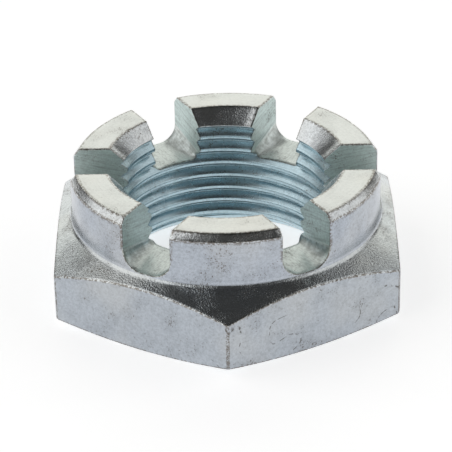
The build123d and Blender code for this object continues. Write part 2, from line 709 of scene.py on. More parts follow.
    def _castellation_profile(self) -> tuple[Profile, np.ndarray, np.ndarray]:
        """Section of a castellation above the foot of the slot's wall, from outside over the top to the bore.

        Returns:
            The profile, the edge rounding at each of its points, and how much of an edge each point is.
        """
        s = self.sizes
        row_height = s.thread_pitch / self.steps.thread_rows_per_pitch
        dense_top = s.height - COARSE_END
        outer_foot, inner_foot = self.outer_centres[-1, 2], self.inner_centres[-1, 2]
        sink = s.countersink_radius - (s.height - dense_top)
        outside = Profile.rounded(
            corners=[(s.crown_radius, outer_foot),
                     (s.crown_radius, s.height - s.crown_chamfer_height),
                     (s.crown_radius - s.crown_chamfer_width, s.height),
                     (s.countersink_radius, s.height),
                     (sink, dense_top)],
            radii=[self.edges.crown_bevel, self.edges.crown_top, self.edges.countersink],
            counts=list(self.steps.castellation),
            surfaces=[Surface.CROWN_WALL, Surface.CROWN_BEVEL, Surface.CROWN_FACE, Surface.CROWN_BEVEL],
            steps=self.edges.steps)
        dense = np.linspace(dense_top, inner_foot, round((dense_top - inner_foot) / row_height) + 1)[1:]
        radius = np.maximum(s.bore_radius, s.countersink_radius - (s.height - dense))
        inside = np.stack([radius, dense], 1)
        facing = np.tile([-1.0, 0.0], (len(dense), 1))
        points = np.concatenate([outside.points, inside])
        normals = np.concatenate([outside.normals, facing])
        turning = np.linalg.norm(np.diff(outside.normals, axis=0), axis=1) > LEAST_TURN
        edge = np.zeros(len(points))
        edge[:len(turning)][turning] = 1
        edge[1:len(turning) + 1][turning] = 1
        on_cone = dense > s.height - (s.countersink_radius - s.bore_radius)
        names = outside.surfaces + [Surface.CROWN_BEVEL if cone else Surface.THREAD for cone in on_cone]
        rounding = np.where(points[:, 0] > s.countersink_radius, self.edges.outer, self.edges.inner)
        blended = self.steps.castellation[-1] + 1
        for row in range(len(outside.points) - blended, len(outside.points)):
            back = (row - len(outside.points) + blended + 1) / (blended + 1)
            mixed = normals[row] * (1 - back) + np.array([-1.0, 0.0]) * back
            normals[row] = mixed / np.linalg.norm(mixed)
        return Profile(points, normals, names), rounding, edge

    def _castellation(self, mesh: SectorMesh) -> np.ndarray:
        """Half a castellation and the rounded edge along the slot's wall.

        Returns:
            The numbers of the edge's points, shape (rows, steps + 1), the slot's wall first.
        """
        s = self.sizes
        profile, rounding, rounded = self._castellation_profile()
        centre_r = profile.points[:, 0] - rounding * profile.normals[:, 0]
        centre_z = profile.points[:, 1] - rounding * profile.normals[:, 1]
        first = np.arcsin((s.slot_half_width + rounding) / centre_r)
        centres = polar(centre_r, first, centre_z)
        facing = polar(profile.normals[:, 0], first, profile.normals[:, 1])
        from_wall = np.tile([0.0, -1.0, 0.0], (len(first), 1))
        strip = centres[:, None] + rounding[:, None, None] * turn(from_wall, facing, self.edges.steps)
        threaded = s.bore_radius + s.thread_height + THREAD_MARGIN
        follow = np.where(profile.points[:, 0] < threaded, 1.0, 0.0)
        strip_edge = np.ones(strip.shape[:2])
        strip_ids = mesh.add_grid(strip, profile.surfaces, bore_share=follow[:, None], edge=strip_edge)

        share = np.concatenate([[0.0], self.castellation_share])[None, :]
        angle = first[:, None] + (s.half_sector - first[:, None]) * share
        points = polar(profile.points[:, :1], angle, profile.points[:, 1:])
        edge = np.repeat(rounded[:, None], points.shape[1], axis=1)
        edge[:, 0] = 1
        mesh.add_grid(points, profile.surfaces, bore_share=follow[:, None],
                      lean=share * s.half_sector, edge=edge)
        return strip_ids


# ---------------------------------------------------------------------------
# Node helpers
# ---------------------------------------------------------------------------


@dataclass
class NodeBench:
    """Adds nodes to one tree and links them.

    Attributes:
        tree: The tree that the nodes go to.
    """

    tree: bpy.types.NodeTree

    def add(self, kind: str, **settings: object) -> bpy.types.Node:
        """Add a node.

        Args:
            kind: Blender's name of the node's type.
            **settings: Values for the node's own settings.

        Returns:
            The node.
        """
        node = self.tree.nodes.new(kind)
        for name, value in settings.items():
            setattr(node, name, value)
        return node

    def feed(self, socket: Socket, value: Value | tuple) -> None:
        """Give a socket a value, or link it where the value is another socket."""
        if isinstance(value, bpy.types.NodeSocket):
            self.tree.links.new(value, socket)
        else:
            socket.default_value = value

    def math(self, operation: str, *values: Value) -> Socket:
        """Add a Math node and return its result."""
        node = self.add("ShaderNodeMath", operation=operation)
        for socket, value in zip(node.inputs, values):
            self.feed(socket, value)
        return node.outputs[0]

    def product(self, first: Value, second: Value) -> Socket:
        """Multiply two numbers."""
        return self.math("MULTIPLY", first, second)

    def plus(self, first: Value, second: Value) -> Socket:
        """Add two numbers."""
        return self.math("ADD", first, second)

    def less(self, first: Value, second: Value) -> Socket:
        """Take the second number from the first."""
        return self.math("SUBTRACT", first, second)

    def vector(self, x: Value, y: Value, z: Value) -> Socket:
        """Join three numbers to a vector."""
        node = self.add("ShaderNodeCombineXYZ")
        for socket, value in zip(node.inputs, (x, y, z)):
            self.feed(socket, value)
        return node.outputs[0]

    def stretch(self, parts: tuple[Socket, Socket, Socket], factors: tuple[float, float, float]) -> Socket:
        """Join three numbers to a vector, each times its own factor."""
        return self.vector(*(self.product(part, factor) for part, factor in zip(parts, factors)))

    def split(self, vector: Socket) -> tuple[Socket, Socket, Socket]:
        """Split a vector into its three numbers."""
        node = self.add("ShaderNodeSeparateXYZ")
        self.feed(node.inputs[0], vector)
        return node.outputs[0], node.outputs[1], node.outputs[2]

    def scale(self, vector: Socket, factor: Value) -> Socket:
        """Multiply a vector by a number."""
        node = self.add("ShaderNodeVectorMath", operation="SCALE")
        self.feed(node.inputs["Vector"], vector)
        self.feed(node.inputs["Scale"], factor)
        return node.outputs["Vector"]

    def noise(self, place: Socket, fineness: float, detail: float) -> Socket:
        """Cloudy noise round one half.

        Args:
            place: Position, in any unit of length.
            fineness: How many clouds there are to one such unit.
            detail: How many finer layers it has.

        Returns:
            The noise.
        """
        node = self.add("ShaderNodeTexNoise", noise_dimensions="3D")
        self.feed(node.inputs["Vector"], place)
        self.feed(node.inputs["Scale"], fineness)
        self.feed(node.inputs["Detail"], detail)
        return node.outputs[0]


class ShaderBench(NodeBench):
    """Adds shader nodes to one tree and links them."""

    def dot(self, vector: Socket, axis: tuple[float, float, float]) -> Socket:
        """Length of a vector along an axis."""
        node = self.add("ShaderNodeVectorMath", operation="DOT_PRODUCT")
        self.feed(node.inputs[0], vector)
        self.feed(node.inputs[1], axis)
        return node.outputs["Value"]

    def smooth(self, value: Value, start: float, end: float) -> Socket:
        """Ease from 0 at the start to 1 at the end."""
        node = self.add("ShaderNodeMapRange", interpolation_type="SMOOTHSTEP")
        self.feed(node.inputs["Value"], value)
        flipped = start > end
        self.feed(node.inputs["From Min"], min(start, end))
        self.feed(node.inputs["From Max"], max(start, end))
        self.feed(node.inputs["To Min"], 1.0 if flipped else 0.0)
        self.feed(node.inputs["To Max"], 0.0 if flipped else 1.0)
        return node.outputs["Result"]

    def attribute(self, name: Attribute) -> Socket:
        """A value kept at the mesh's points."""
        return self.add("ShaderNodeAttribute", attribute_name=name.value).outputs["Fac"]

    def darken(self, shade: Value, mask: Socket, depth: float) -> Socket:
        """Take a share of the shade away where the mask is full."""
        return self.math("MULTIPLY", shade, self.math("MULTIPLY_ADD", mask, -depth, 1.0))

    def mix(self, share: Value, first: Socket | tuple, second: Socket | tuple) -> Socket:
        """Blend two colours."""
        node = self.add("ShaderNodeMix", data_type="RGBA")
        self.feed(node.inputs[0], share)
        for socket, value in zip((node.inputs[6], node.inputs[7]), (first, second)):
            self.feed(socket, (*value, 1.0) if isinstance(value, tuple) else value)
        return node.outputs[2]

    def total(self, first: Socket, second: Value | tuple) -> Socket:
        """Add two colours or vectors."""
        node = self.add("ShaderNodeVectorMath", operation="ADD")
        self.feed(node.inputs[0], first)
        self.feed(node.inputs[1], second)
        return node.outputs["Vector"]


# ---------------------------------------------------------------------------
# Whole nut by Geometry Nodes
# ---------------------------------------------------------------------------


CREST_SHARE = 0.11  # half the width of a thread crest, as a share of the pitch
FLANK_RISE = 1.25  # depth gained for each millimetre along the thread's axis
RIDGE_EASE = 0.06  # rounding of crests and roots, as a share of the pitch
SINK_EASE = 0.04  # rounding where the thread runs out in a countersink, as a share of the pitch
MERGE_DISTANCE = 0.0005 * MM
BURR_FINENESS = 1400.0  # how many waves a broken edge has to a metre
BURR_DETAIL = 2.0
SHADING_WEIGHT = 80  # how much the larger faces lead the shading


@dataclass
class NutTree:
    """Geometry Nodes tree that repeats the sector round the axis and cuts the thread.

    Attributes:
        sizes: The nut's sizes.
        burr: How far the broken edges wander, in millimetres.
        materials: One material for each surface, in their order.
    """

    sizes: NutSizes
    materials: list[bpy.types.Material]
    burr: float = 0.035

    def build(self) -> bpy.types.NodeTree:
        """Make the tree with named inputs for its sizes.

        Returns:
            The tree.
        """
        self.tree = bpy.data.node_groups.new("castle_nut_rule", "GeometryNodeTree")
        self.bench = NodeBench(self.tree)
        face = self.tree.interface
        face.new_socket("Sector", in_out="INPUT", socket_type="NodeSocketGeometry")
        face.new_socket("Castellations", in_out="INPUT", socket_type="NodeSocketInt")
        for name in ("Height", "Bore Radius", "Thread Pitch", "Thread Height", "Thread Start",
                     "Countersink Radius", "Bearing Countersink Radius", "Burr"):
            face.new_socket(name, in_out="INPUT", socket_type="NodeSocketFloat")
        face.new_socket("Nut", in_out="OUTPUT", socket_type="NodeSocketGeometry")
        self.inputs = self.bench.add("NodeGroupInput").outputs
        ring = self._repeat(self.inputs["Sector"])
        threaded = self._cut_thread(ring)
        worn = self._break_edges(self._join(threaded))
        whole = self.bench.add("GeometryNodeRealizeInstances")
        self.bench.feed(whole.inputs["Geometry"], worn)
        dressed = self._dress(whole.outputs["Geometry"])
        self.bench.feed(self.bench.add("NodeGroupOutput").inputs[0], dressed)
        return self.tree

    def values(self) -> dict[str, float | int]:
        """The value of each named input, in metres where it is a length."""
        s = self.sizes
        return {
            "Castellations": s.slot_count,
            "Height": s.height * MM,
            "Bore Radius": s.bore_radius * MM,
            "Thread Pitch": s.thread_pitch * MM,
            "Thread Height": s.thread_height * MM,
            "Thread Start": s.thread_start * MM,
            "Countersink Radius": s.countersink_radius * MM,
            "Bearing Countersink Radius": s.bearing_countersink_radius * MM,
            "Burr": self.burr * MM,
        }

    def _repeat(self, sector: Socket) -> Socket:
        """Place the sector once for each slot."""
        bench = self.bench
        points = bench.add("GeometryNodePoints")
        bench.feed(points.inputs["Count"], self.inputs["Castellations"])
        index = bench.add("GeometryNodeInputIndex").outputs[0]
        step = bench.math("DIVIDE", math.tau, self.inputs["Castellations"])
        place = bench.add("GeometryNodeInstanceOnPoints")
        bench.feed(place.inputs["Points"], points.outputs[0])
        bench.feed(place.inputs["Instance"], sector)
        bench.feed(place.inputs["Rotation"], bench.vector(0.0, 0.0, bench.product(index, step)))
        numbered = self._store(place.outputs[0], Attribute.SECTOR, "INSTANCE", bench.product(index, step))
        realize = bench.add("GeometryNodeRealizeInstances")
        bench.feed(realize.inputs[0], numbered)
        return self._store(realize.outputs[0], Attribute.SLOT_ANGLE, "FACE", self._named(Attribute.SECTOR))

    def _store(self, geometry: Socket, name: Attribute, domain: str, value: Socket) -> Socket:
        """Keep a value at each instance or face."""
        node = self.bench.add("GeometryNodeStoreNamedAttribute", data_type="FLOAT", domain=domain)
        self.bench.feed(node.inputs["Geometry"], geometry)
        self.bench.feed(node.inputs["Name"], name.value)
        self.bench.feed(node.inputs["Value"], value)
        return node.outputs[0]

    def _join(self, geometry: Socket) -> Socket:
        """Join the sectors along their shared points."""
        merge = self.bench.add("GeometryNodeMergeByDistance")
        self.bench.feed(merge.inputs["Geometry"], geometry)
        self.bench.feed(merge.inputs["Distance"], MERGE_DISTANCE)
        return merge.outputs[0]

    def _named(self, name: Attribute, kind: str = "FLOAT") -> Socket:
        """Read a value kept at the mesh's points."""
        node = self.bench.add("GeometryNodeInputNamedAttribute", data_type=kind)
        self.bench.feed(node.inputs["Name"], name.value)
        return node.outputs["Attribute"]

    def _thread_radius(self, angle: Socket, height: Socket) -> Socket:
        """Distance from the axis to the thread's surface: ridges that plating has rounded."""
        bench = self.bench
        pitch = self.inputs["Thread Pitch"]
        lead = bench.product(bench.math("DIVIDE", angle, math.tau), pitch)
        along = bench.less(bench.less(height, lead), self.inputs["Thread Start"])
        half_pitch = bench.product(pitch, 0.5)
        from_crest = bench.math("PINGPONG", along, half_pitch)
        crest_half = bench.product(pitch, CREST_SHARE)
        rise = bench.product(bench.less(from_crest, crest_half), FLANK_RISE)
        eased = bench.product(pitch, RIDGE_EASE)
        ridge = bench.math("SMOOTH_MAX", rise, 0.0, eased)
        groove = bench.math("SMOOTH_MIN", ridge, self.inputs["Thread Height"], eased)
        return bench.plus(self.inputs["Bore Radius"], groove)

    def _cut_thread(self, geometry: Socket) -> Socket:
        """Push the bore's points out to the right-hand thread, each along its own level line."""
        bench = self.bench
        x, y, z = bench.split(bench.add("GeometryNodeInputPosition").outputs[0])
        angle = bench.math("ARCTAN2", y, x)
        to_top = bench.less(self.inputs["Height"], z)
        upper = bench.less(self.inputs["Countersink Radius"], to_top)
        lower = bench.less(self.inputs["Bearing Countersink Radius"], z)
        sinks = bench.math("MAXIMUM", upper, lower)
        plain = bench.math("MAXIMUM", sinks, self.inputs["Bore Radius"])
        eased = bench.product(self.inputs["Thread Pitch"], SINK_EASE)
        cut = bench.math("SMOOTH_MAX", self._thread_radius(angle, z), sinks, eased)
        line = bench.plus(self._named(Attribute.SECTOR), self._named(Attribute.LEAN))
        cosine = bench.math("COSINE", line)
        sine = bench.math("SINE", line)
        aside = bench.less(bench.product(y, cosine), bench.product(x, sine))
        reach = self._reach(cut, aside)
        start = self._reach(plain, aside)
        move = bench.product(bench.less(reach, start), self._named(Attribute.BORE_SHARE))
        push = bench.add("GeometryNodeSetPosition")
        bench.feed(push.inputs["Geometry"], geometry)
        bench.feed(push.inputs["Offset"], bench.scale(bench.vector(cosine, sine, 0.0), move))
        return push.outputs[0]

    def _reach(self, radius: Socket, aside: Socket) -> Socket:
        """Distance along a level line at which it meets a circle round the axis."""
        bench = self.bench
        squared = bench.less(bench.product(radius, radius), bench.product(aside, aside))
        return bench.math("SQRT", squared)

    def _break_edges(self, geometry: Socket) -> Socket:
        """Let the broken edges wander a little, as filed and plated edges do."""
        bench = self.bench
        place = bench.add("GeometryNodeInputPosition").outputs[0]
        inward = bench.less(bench.noise(place, BURR_FINENESS, BURR_DETAIL), 1.0)
        amount = bench.product(inward, self.inputs["Burr"])
        masked = bench.product(amount, self._named(Attribute.EDGE))
        push = bench.add("GeometryNodeSetPosition")
        bench.feed(push.inputs["Geometry"], geometry)
        normal = bench.add("GeometryNodeInputNormal").outputs[0]
        bench.feed(push.inputs["Offset"], bench.scale(normal, masked))
        return push.outputs[0]

    def _dress(self, geometry: Socket) -> Socket:
        """Give each surface its finish."""
        bench = self.bench
        for surface, material in zip(Surface, self.materials):
            same = bench.add("FunctionNodeCompare", data_type="INT", operation="EQUAL")
            integers = [s for s in same.inputs if s.type == "INT" and s.enabled]
            bench.feed(integers[0], self._named(Attribute.SURFACE, "INT"))
            bench.feed(integers[1], int(surface))
            dress = bench.add("GeometryNodeSetMaterial")
            bench.feed(dress.inputs["Geometry"], geometry)
            bench.feed(dress.inputs["Selection"], same.outputs[0])
            bench.feed(dress.inputs["Material"], material)
            geometry = dress.outputs[0]
        return geometry


@dataclass
class CastleNut:
    """The whole nut as one piece.

    Attributes:
        sizes: Its sizes.
        materials: One material for each surface, in their order.
    """

    sizes: NutSizes
    materials: list[bpy.types.Material]

    def build(self) -> bpy.types.Object:
        """Make the nut, place it on its body and let it stand for its solid.

        Returns:
            The finished object.
        """
        piece = CrownSector(self.sizes).build()
        piece.name = "castle_nut_plated"
        for material in self.materials:
            piece.data.materials.append(material)
        tree = NutTree(self.sizes, self.materials)
        group = tree.build()
        modifier = piece.modifiers.new("rule", "NODES")
        modifier.node_group = group
        inputs = [item for item in group.interface.items_tree if item.in_out == "INPUT"]
        sockets = {item.name: item.identifier for item in inputs}
        for name, value in tree.values().items():
            modifier[sockets[name]] = value
        weighted = piece.modifiers.new("even_shading", "WEIGHTED_NORMAL")
        weighted.weight = SHADING_WEIGHT
        weighted.keep_sharp = False
        self._bake(piece)
        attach(piece, "root")
        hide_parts(NODE)
        return piece

    def _bake(self, piece: bpy.types.Object) -> None:
        """Turn the result of the modifiers into a plain mesh."""
        graph = bpy.context.evaluated_depsgraph_get()
        evaluated = piece.evaluated_get(graph)
        mesh = bpy.data.meshes.new_from_object(evaluated, preserve_all_data_layers=True, depsgraph=graph)
        piece.modifiers.clear()
        old = piece.data
        piece.data = mesh
        bpy.data.meshes.remove(old)
        mesh.name = piece.name


# ---------------------------------------------------------------------------
# Finishes
# ---------------------------------------------------------------------------


class Grain(Enum):
    """Direction of the fine marks that the tool left."""

    ROLLED = "rolled"
    TURNED = "turned"
    MILLED = "milled"
    THREADED = "threaded"


PIT_COLOR = (0.16, 0.13, 0.10)
# Colour of the darker patches where a surface turns from level towards upright.
TILT_DARK_COLOR = (0.14, 0.15, 0.12)
SCUFF_COLOR = (0.1, 0.09, 0.08)
RIM_COLOR = (0.13, 0.10, 0.07)
PIT_START = 1.27  # noise at which the first pits show
PIT_REACH = 0.25  # how far that falls where pits cover everything
PIT_EDGE = 0.11  # change in the noise from a pit's edge to its floor
PIT_DEPTH = 3.0  # micrometres
PIT_COVER = 0.65  # share of the plating's colour that a pit hides
PIT_ROUGHNESS = 0.2  # added in a pit
DULL_ROUGHNESS = 0.06  # added where the plating has clouded over


class Onset:
    """Where each mark sets in and where it is full: noise values, or what the comment says."""

    DULL = (0.42, 0.7)
    COARSE = (0.4, 0.62)
    MOTTLE = (0.35, 0.7)
    GRIT = (0.4, 0.7)
    STREAK = (0.4, 0.75)
    TARNISH = (0.45, 0.7)
    WORN = (0.3, 1.0)  # how much of an edge a point is
    RIM = (0.8, 1.1)
    TILT_DARK = (0.34, 0.62)
    NOT_LEVEL = (0.97, 0.8)  # upward part of the surface's direction
    NOT_UPRIGHT = (0.02, 0.25)  # the same
    BESIDE_SLOT = (4.8, 3.6)  # millimetres from the slot's middle
    SCRATCH = (0.014, 0.004)
    SCRATCHED_PLACE = (0.56, 0.62)
    SCRATCH_BREAK = (0.46, 0.56)


@dataclass(frozen=True)
class Layers:
    """The noises that every finish is made of, from coarse to fine.

    Attributes:
        place: Position in millimetres.
        lines: Fine lines along the tool's marks.
        grit: The finest grain of the plating.
        fine: Fine mottling.
        patch: Patches of a millimetre or so.
        cloud: Clouds a few millimetres wide.
    """

    place: Socket
    lines: Socket
    grit: Socket
    fine: Socket
    patch: Socket
    cloud: Socket


@dataclass(frozen=True)
class ZincFinish:
    """Bluish zinc plating over one machined surface.

    Attributes:
        color: Colour of clean plating, made lighter or darker for each surface partly as painted light and
            shade.
        roughness: Roughness of clean plating.
        grain: Direction of the fine marks that the tool left.
        marks: Height of the tool's marks, in micrometres.
        crystals: Height of the plating's fine grain, in micrometres.
        mottle: How much the fine grain changes the colour, from 0 to 1.
        cloud: How much the colour clouds over, from 0 to 1.
        streak: How much the tool's marks change the colour, from 0 to 1.
        pits: How much of the surface dark pits cover, from 0 to 1.
        tilt_darkening: How dark the patches are where the surface turns from level towards upright, from 0 to
            1.
        scuffs: How dark the thin wandering scratches are, from 0 to 1.
        rim: How dark the broken edges are, from 0 to 1.
        tarnish: How much of the plating has turned warm, from 0 to 1.
        warm: Colour of the warm plating.
        burr: Height of the torn metal beside the slots, in micrometres.
    """

    color: tuple[float, float, float]
    roughness: float
    grain: Grain
    marks: float = 4.0
    crystals: float = 6.0
    mottle: float = 0.1
    cloud: float = 0.15
    streak: float = 0.05
    pits: float = 0.1
    tilt_darkening: float = 0.0
    scuffs: float = 0.0
    rim: float = 0.7
    tarnish: float = 0.0
    warm: tuple[float, float, float] = (0.86, 0.78, 0.62)
    burr: float = 0.0

    def build(self, name: str) -> bpy.types.Material:
        """Make the material.

        Args:
            name: The material's name.

        Returns:
            The material.
        """
        material = bpy.data.materials.new(name)
        material.use_nodes = True
        bench = ShaderBench(material.node_tree)
        shader = material.node_tree.nodes["Principled BSDF"]
        shader.inputs["Metallic"].default_value = 1.0
        place = bench.scale(bench.add("ShaderNodeTexCoord").outputs["Object"], 1 / MM)
        layers = Layers(
            place=place,
            lines=bench.noise(self._along_marks(bench, place), 1.0, detail=3.0),
            grit=bench.noise(place, 5.0, detail=2.0),
            fine=bench.noise(place, 2.4, detail=3.0),
            patch=bench.noise(place, 1.0, detail=4.0),
            cloud=bench.noise(place, 0.3, detail=3.0),
        )
        dull = bench.smooth(layers.cloud, *Onset.DULL)
        pitted = self._pitted(bench, layers)
        bench.feed(shader.inputs["Base Color"], self._color(bench, layers, dull, pitted))
        rough = bench.math("MULTIPLY_ADD", dull, DULL_ROUGHNESS, self.roughness)
        rough = bench.math("MULTIPLY_ADD", pitted, PIT_ROUGHNESS, rough)
        bench.feed(shader.inputs["Roughness"], rough)
        bump = bench.add("ShaderNodeBump")
        bump.inputs["Strength"].default_value = 1.0
        bump.inputs["Distance"].default_value = MM / 1000
        bench.feed(bump.inputs["Height"], self._height(bench, layers, pitted))
        bench.feed(shader.inputs["Normal"], bump.outputs["Normal"])
        return material

    def _pitted(self, bench: ShaderBench, layers: Layers) -> Socket:
        """Where the small dark pits are."""
        spots = bench.math("MULTIPLY_ADD", layers.patch, 0.4, layers.grit)
        spots = bench.math("MULTIPLY_ADD", layers.cloud, 0.7, spots)
        start = PIT_START - PIT_REACH * self.pits
        return bench.smooth(spots, start, start + PIT_EDGE)

    def _color(self, bench: ShaderBench, layers: Layers, dull: Socket, pitted: Socket) -> Socket:
        """Colour of the plating with its clouds, pits, scuffs and worn edges, darker in patches where the
        surface turns from level.

        Args:
            bench: Where the nodes go.
            layers: The noises that the finish is made of.
            dull: Where the plating has clouded over.
            pitted: Where the small dark pits are.

        Returns:
            The colour.
        """
        shade = bench.math("MULTIPLY_ADD", dull, -self.cloud, 1.0)
        for layer, onset, depth in (
            (layers.fine, Onset.MOTTLE, self.mottle),
            (layers.grit, Onset.GRIT, self.mottle),
            (layers.lines, Onset.STREAK, self.streak),
        ):
            if depth > 0:
                shade = bench.darken(shade, bench.smooth(layer, *onset), depth)
        color = bench.scale(self.color, shade)
        if self.tarnish > 0:
            warm = bench.smooth(bench.noise(layers.place, 0.09, detail=2.0), *Onset.TARNISH)
            color = bench.mix(bench.product(warm, self.tarnish), color, self.warm)
        if self.pits > 0:
            color = bench.mix(bench.product(pitted, PIT_COVER), color, PIT_COLOR)
        # Darker in patches where the surface turns from level towards upright.
        if self.tilt_darkening > 0:
            tilt_darkened = bench.product(self._tilted(bench, layers.patch), self.tilt_darkening)
            color = bench.mix(tilt_darkened, color, TILT_DARK_COLOR)
        if self.scuffs > 0:
            scuffed = bench.product(self._scuffed(bench, layers.place), self.scuffs)
            color = bench.mix(scuffed, color, SCUFF_COLOR)
        worn = bench.smooth(bench.attribute(Attribute.EDGE), *Onset.WORN)
        rim = bench.product(worn, bench.smooth(bench.plus(layers.fine, layers.grit), *Onset.RIM))
        return bench.mix(bench.product(rim, self.rim), color, RIM_COLOR)

    def _height(self, bench: ShaderBench, layers: Layers, pitted: Socket) -> Socket:
        """Height of the tool's marks, grain, pits and burrs.

        Args:
            bench: Where the nodes go.
            layers: The noises that the finish is made of.
            pitted: Where the small dark pits are.

        Returns:
            The height in micrometres.
        """
        height = bench.product(layers.lines, self.marks)
        coarse = bench.math("MULTIPLY_ADD", bench.smooth(layers.cloud, *Onset.COARSE), 0.8, 0.5)
        grain = bench.product(bench.less(layers.grit, 0.5), coarse)
        height = bench.math("MULTIPLY_ADD", grain, self.crystals, height)
        height = bench.math("MULTIPLY_ADD", pitted, -PIT_DEPTH, height)
        if self.burr > 0:
            torn = bench.noise(layers.place, 1.3, detail=2.0)
            torn = bench.product(torn, self._by_slot(bench, layers.place))
            height = bench.math("MULTIPLY_ADD", torn, self.burr, height)
        return height

    def _tilted(self, bench: ShaderBench, patch: Socket) -> Socket:
        """Darker patches on the parts that turn from level towards upright, as in a slot floor's curved
        corners and rounded edges.
        """
        normal = bench.add("ShaderNodeNewGeometry").outputs["True Normal"]
        _, _, level = bench.split(normal)
        turned = bench.product(bench.smooth(level, *Onset.NOT_LEVEL), bench.smooth(level, *Onset.NOT_UPRIGHT))
        return bench.product(turned, bench.smooth(patch, *Onset.TILT_DARK))

    def _by_slot(self, bench: ShaderBench, place: Socket) -> Socket:
        """Full beside the walls of a slot, and nothing a little way from them."""
        x, y, _ = bench.split(place)
        _, across = self._from_slot(bench, x, y)
        return bench.smooth(bench.math("ABSOLUTE", across), *Onset.BESIDE_SLOT)

    def _from_slot(self, bench: ShaderBench, x: Socket, y: Socket) -> tuple[Socket, Socket]:
        """Places along and across the nearest slot.

        Args:
            bench: Where the nodes go.
            x: Position along X.
            y: Position along Y.

        Returns:
            The distance outwards along the slot's middle, and the distance to its side.
        """
        sector = bench.attribute(Attribute.SLOT_ANGLE)
        cosine, sine = bench.math("COSINE", sector), bench.math("SINE", sector)
        out = bench.plus(bench.product(x, cosine), bench.product(y, sine))
        return out, bench.less(bench.product(y, cosine), bench.product(x, sine))

    def _scuffed(self, bench: ShaderBench, place: Socket) -> Socket:
        """Thin wandering lines that keep to a few places."""
        wander = bench.noise(place, 0.22, detail=0.0)
        thin = bench.smooth(bench.math("ABSOLUTE", bench.less(wander, 0.5)), *Onset.SCRATCH)
        few = bench.smooth(bench.noise(place, 0.13, detail=1.0), *Onset.SCRATCHED_PLACE)
        broken = bench.smooth(bench.noise(place, 1.6, detail=2.0), *Onset.SCRATCH_BREAK)
        return bench.product(thin, bench.product(few, broken))

    def _along_marks(self, bench: ShaderBench, place: Socket) -> Socket:
        """Places stretched along the tool's marks, for a noise that draws fine lines.

        Args:
            bench: Where the nodes go.
            place: Position in millimetres.

        Returns:
            The stretched position.
        """
        x, y, z = bench.split(place)
        if self.grain is Grain.ROLLED:
            return bench.stretch((x, y, z), (1.6, 1.6, 0.8))
        if self.grain is Grain.MILLED:
            out, across = self._from_slot(bench, x, y)
            slanted = bench.math("MULTIPLY_ADD", out, -0.25, z)
            return bench.stretch((out, across, slanted), (0.3, 5.0, 4.0))
        radius = bench.math("SQRT", bench.math("MULTIPLY_ADD", x, x, bench.product(y, y)))
        climb = bench.math("MULTIPLY_ADD", radius, 2.3, z)
        fineness = 3.0 if self.grain is Grain.TURNED else 4.0
        return bench.stretch((x, y, climb), (0.22, 0.22, fineness))


def zinc_finishes_with_painted_light() -> list[bpy.types.Material]:
    """One material for each surface, in their order, with painted light and shade in their colours."""
    # One plating on every surface: the spread in lightness below is partly machining and partly painted light
    # and shade, darker on the flats and crown wall, lighter on the top faces and in the slots.
    finishes = {
        Surface.FLAT: ZincFinish(
            (0.50, 0.54, 0.59), 0.33, Grain.ROLLED, marks=3, crystals=12, mottle=0.12, cloud=0.1, pits=0.12,
            scuffs=0.8, tarnish=0.1),
        Surface.SHOULDER: ZincFinish(
            (0.66, 0.70, 0.72), 0.18, Grain.TURNED, marks=3, crystals=50, mottle=0.12, cloud=0.1, pits=0.3,
            tarnish=0.12),
        Surface.CROWN_WALL: ZincFinish(
            (0.47, 0.51, 0.57), 0.19, Grain.TURNED, marks=4, crystals=12, mottle=0.12, cloud=0.1, pits=0.12,
            tarnish=0.1),
        Surface.CROWN_FACE: ZincFinish(
            (0.80, 0.82, 0.80), 0.3, Grain.TURNED, marks=2, crystals=7, mottle=0.06, cloud=0.04, pits=0.1,
            tarnish=0.1),
        Surface.CROWN_BEVEL: ZincFinish(
            (0.75, 0.78, 0.79), 0.18, Grain.TURNED, marks=3, crystals=34, mottle=0.15, cloud=0.05, pits=0.2,
            tarnish=0.15, burr=70),
        Surface.SLOT_WALL: ZincFinish(
            (0.70, 0.81, 0.79), 0.5, Grain.MILLED, marks=6, crystals=14, mottle=0.12, cloud=0.04, streak=0.25,
            pits=0.12, rim=0.0),
        Surface.SLOT_FLOOR: ZincFinish(
            (0.80, 0.86, 0.84), 0.4, Grain.MILLED, marks=6, crystals=14, mottle=0.12, cloud=0.06, streak=0.25,
            pits=0.2, tilt_darkening=0.4),
        Surface.THREAD: ZincFinish(
            (0.55, 0.70, 0.76), 0.25, Grain.THREADED, marks=5, crystals=9, mottle=0.08, cloud=0.06,
            streak=0.15),
        Surface.BEARING: ZincFinish((0.60, 0.63, 0.66), 0.3, Grain.TURNED),
    }
    return [finishes[surface].build("zinc_" + surface.name.lower()) for surface in Surface]


# ---------------------------------------------------------------------------
# Studio
# ---------------------------------------------------------------------------


LEAST_FACING = 0.001  # keeps the half of the sky behind a box from being divided by zero


